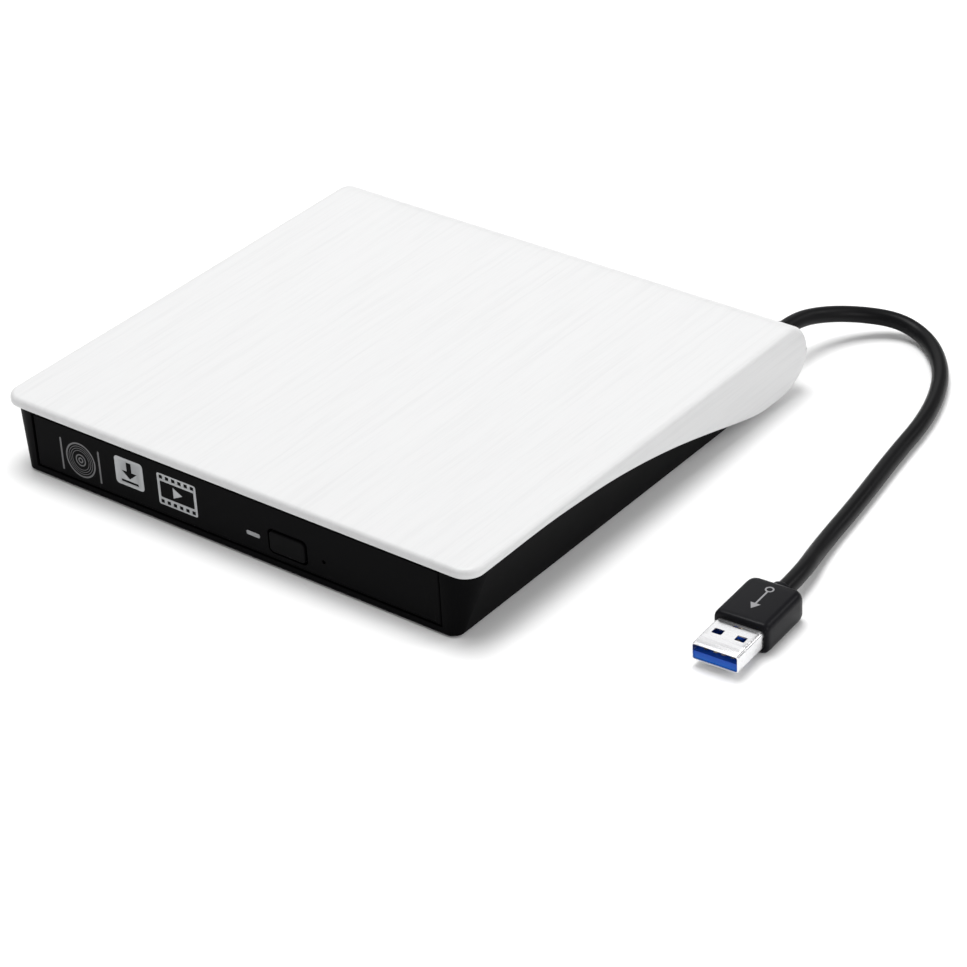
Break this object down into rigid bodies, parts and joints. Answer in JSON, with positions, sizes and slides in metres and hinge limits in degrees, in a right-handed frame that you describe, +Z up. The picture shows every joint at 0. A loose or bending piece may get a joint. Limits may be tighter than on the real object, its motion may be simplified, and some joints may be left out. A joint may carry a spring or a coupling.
{
  "type": "external optical disc drive",
  "caption": "Flat desktop disc drive: white cover rolled at the rear, black tub, sliding disc tray with a diagonal pick-up inside, and a captive USB cable.",
  "frame": {"origin": "on the surface the drive stands on, under the middle of its case", "axes": "+X along the case's width, to the right seen from the front; -Y towards the front, where the tray comes out; +Z up"},
  "size_m": [0.2027, 0.1748, 0.02],
  "materials": {
    "white_cover": "satin",
    "black_case": "satin",
    "black_bezel": "satin",
    "button_black": "satin",
    "light_clear": "gloss",
    "foot_rubber": "matt",
    "foam_grey": "matt",
    "sheet_steel": "satin",
    "screw_steel": "satin",
    "rod_steel": "polished",
    "tray_plastic": "satin",
    "rail_plastic": "satin",
    "board_green": "satin",
    "chip_black": "matt",
    "connector_black": "satin",
    "copper_coil": "satin",
    "sled_metal": "satin",
    "lens_glass": "gloss",
    "grip_rubber": "matt",
    "claw_plastic": "satin",
    "flex_film": "satin",
    "cable_black": "satin",
    "plug_black": "satin",
    "shell_nickel": "polished",
    "tongue_blue": "satin",
    "contact_gold": "polished"
  },
  "bodies": {
    "case": {"top_cover": "white_cover", "base_shell": "black_case", "rubber_feet": "foot_rubber", "case_screws": "screw_steel", "foam_pads": "foam_grey", "drive_screws": "screw_steel", "bridge_board": "board_green", "bridge_chips": "chip_black", "bridge_plug": "connector_black", "cable_tail": "cable_black", "cable_gland": "cable_black", "drive_chassis": "sheet_steel", "drive_top_plate": "sheet_steel", "lock_pin": "screw_steel", "drive_board": "board_green", "drive_chips": "chip_black", "drive_socket": "connector_black", "guide_rail_left": "rail_plastic", "guide_rail_right": "rail_plastic", "ejector_spring": "screw_steel", "usb_cable": "cable_black", "plug_body": "plug_black", "plug_shell": "shell_nickel", "plug_tongue": "tongue_blue", "plug_contacts": "contact_gold"},
    "runners": {"slide_runner_left": "sheet_steel", "slide_runner_right": "sheet_steel"},
    "ejector": {"ejector_slider": "rail_plastic"},
    "tray": {"disc_tray": "tray_plastic", "bezel": "black_bezel", "light_pipe": "light_clear", "tray_board": "board_green", "status_led": "light_clear", "eject_switch": "connector_black", "lock_solenoid": "copper_coil", "flex_cable": "flex_film", "mechanism_frame": "sheet_steel", "frame_dampers": "grip_rubber", "damper_screws": "screw_steel", "guide_rod_long": "rod_steel", "guide_rod_short": "rod_steel", "sled_motor": "sled_metal", "shield_plate": "sheet_steel", "spindle_base": "sheet_steel", "spindle_motor": "copper_coil"},
    "button": {"eject_button": "button_black"},
    "lock": {"lock_lever": "sheet_steel"},
    "sled": {"pickup_sled": "sled_metal", "laser_unit": "contact_gold"},
    "lens": {"lens_holder": "chip_black", "objective_lens": "lens_glass"},
    "screw": {"lead_screw": "rod_steel"},
    "spindle": {"turntable": "sled_metal", "turntable_grip": "grip_rubber", "spindle_shaft": "rod_steel"},
    "claw_1": {"chuck_claw_1": "claw_plastic"},
    "claw_2": {"chuck_claw_2": "claw_plastic"},
    "claw_3": {"chuck_claw_3": "claw_plastic"}
  },
  "joints": [
    {"name": "tray_slide", "type": "slide", "parent": "case", "child": "tray", "axis": [0, -1, 0], "range_m": [0, 0.13]},
    {"name": "runner_slide", "type": "slide", "parent": "case", "child": "runners", "axis": [0, -1, 0], "range_m": [0, 0.13]},
    {"name": "ejector_push", "type": "slide", "parent": "case", "child": "ejector", "axis": [0, -1, 0], "range_m": [0, 0.008]},
    {"name": "eject_button_press", "type": "slide", "parent": "tray", "child": "button", "axis": [0, 1, 0], "range_m": [0, 0.0008], "stiffness_N_per_m": 400},
    {"name": "lock_lever_turn", "type": "hinge", "parent": "tray", "child": "lock", "pos_m": [0.0245, -0.061, 0.0045], "axis": [0, 0, 1], "range_deg": [-15, 0]},
    {"name": "sled_slide", "type": "slide", "parent": "tray", "child": "sled", "axis": [0.7071, -0.7071, 0], "range_m": [0, 0.0335]},
    {"name": "lead_screw_spin", "type": "hinge", "parent": "tray", "child": "screw", "pos_m": [0.01117, -0.03575, 0.008], "axis": [0.7071, -0.7071, 0], "range_deg": [-5, 4035]},
    {"name": "lens_focus", "type": "slide", "parent": "sled", "child": "lens", "axis": [0, 0, 1], "range_m": [-0.0004, 0.0004], "stiffness_N_per_m": 60},
    {"name": "spindle_spin", "type": "hinge", "parent": "tray", "child": "spindle", "pos_m": [0, -0.0045, 0.0116], "axis": [0, 0, 1], "continuous": true},
    {"name": "chuck_claw_1_press", "type": "slide", "parent": "spindle", "child": "claw_1", "axis": [-0.7071, 0.7071, 0], "range_m": [0, 0.0006], "stiffness_N_per_m": 150},
    {"name": "chuck_claw_2_press", "type": "slide", "parent": "spindle", "child": "claw_2", "axis": [-0.2588, -0.9659, 0], "range_m": [0, 0.0006], "stiffness_N_per_m": 150},
    {"name": "chuck_claw_3_press", "type": "slide", "parent": "spindle", "child": "claw_3", "axis": [0.9659, 0.2588, 0], "range_m": [0, 0.0006], "stiffness_N_per_m": 150}
  ],
  "couplings": [
    {"joint": "runner_slide", "follows": "tray_slide", "ratio": 0.5},
    {"joint": "ejector_push", "follows": "tray_slide", "ratio": 0.06148},
    {"joint": "lead_screw_spin", "follows": "sled_slide", "rad_per_m": 2094.4}
  ]
}
